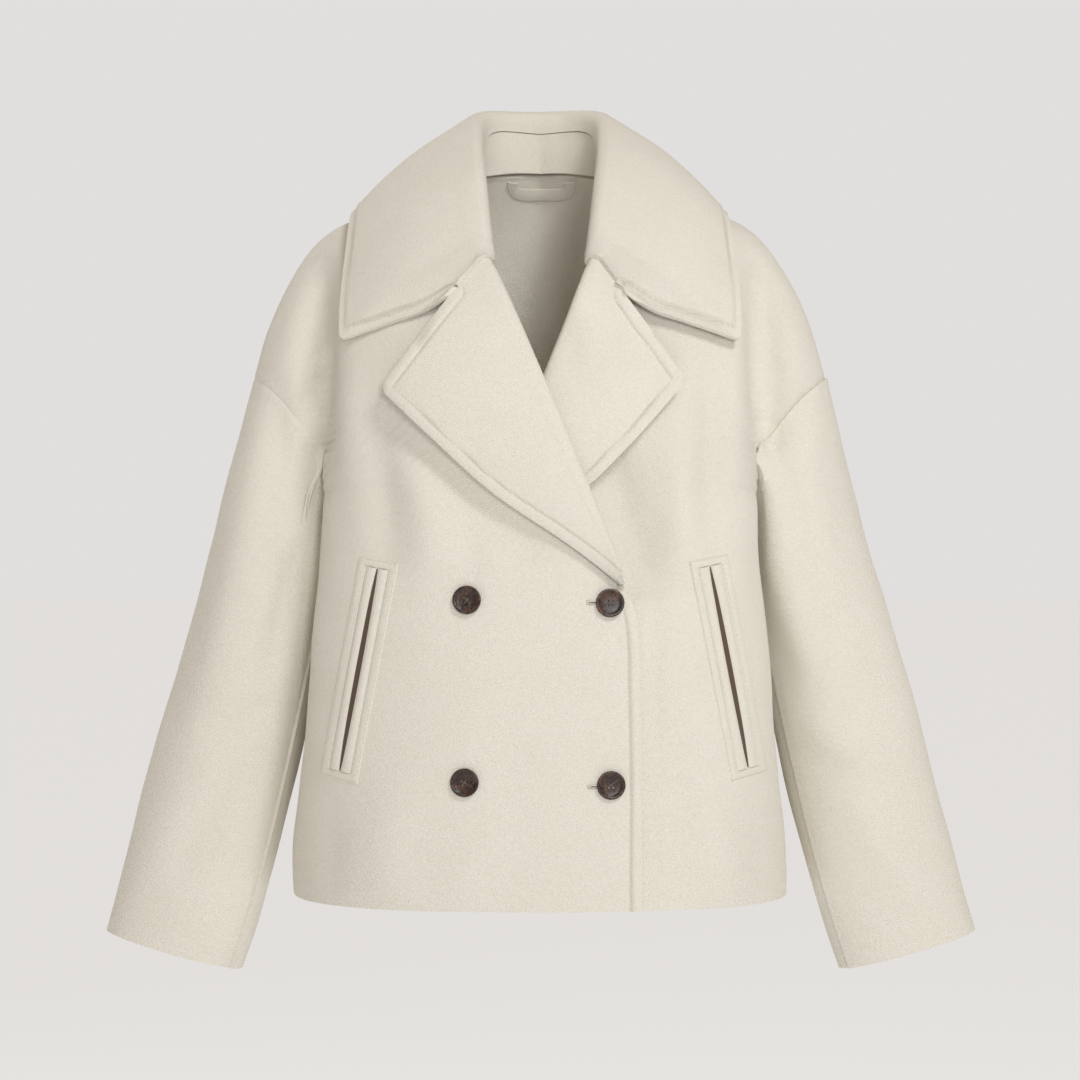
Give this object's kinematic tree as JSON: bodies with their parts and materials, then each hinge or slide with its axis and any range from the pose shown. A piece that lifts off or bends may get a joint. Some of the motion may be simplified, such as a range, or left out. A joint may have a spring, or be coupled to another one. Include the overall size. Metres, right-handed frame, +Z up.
{
  "type": "double-breasted coat",
  "caption": "Short boxy double-breasted coat in thick wool, with a large notched collar, pointed lapels, drop shoulders and slanted welt pockets.",
  "frame": {"origin": "middle of the neck opening at the height of the shoulder seams, where the coat hangs on the wearer's shoulders", "axes": "+Z up, -Y the front of the coat, +X the wearer's left"},
  "size_m": [0.785, 0.2914, 0.7851],
  "materials": {
    "wool": "cream brushed wool, matte with a soft nap",
    "horn": "dark brown mottled horn, satin"
  },
  "bodies": {
    "root": {"back": "wool", "front_right": "wool", "front_left": "wool", "lapel_right": "wool", "lapel_left": "wool", "sleeve_top_right": "wool", "sleeve_top_left": "wool", "sleeve_under_right": "wool", "sleeve_under_left": "wool", "collar_stand": "wool", "collar_fall": "wool", "hanger_loop": "wool", "pocket_frame_right": "wool", "pocket_frame_left": "wool", "welt_right_centre": "wool", "welt_right_side": "wool", "welt_left_centre": "wool", "welt_left_side": "wool", "button_1": "horn", "button_2": "horn", "button_3": "horn", "button_4": "horn"}
  },
  "joints": []
}
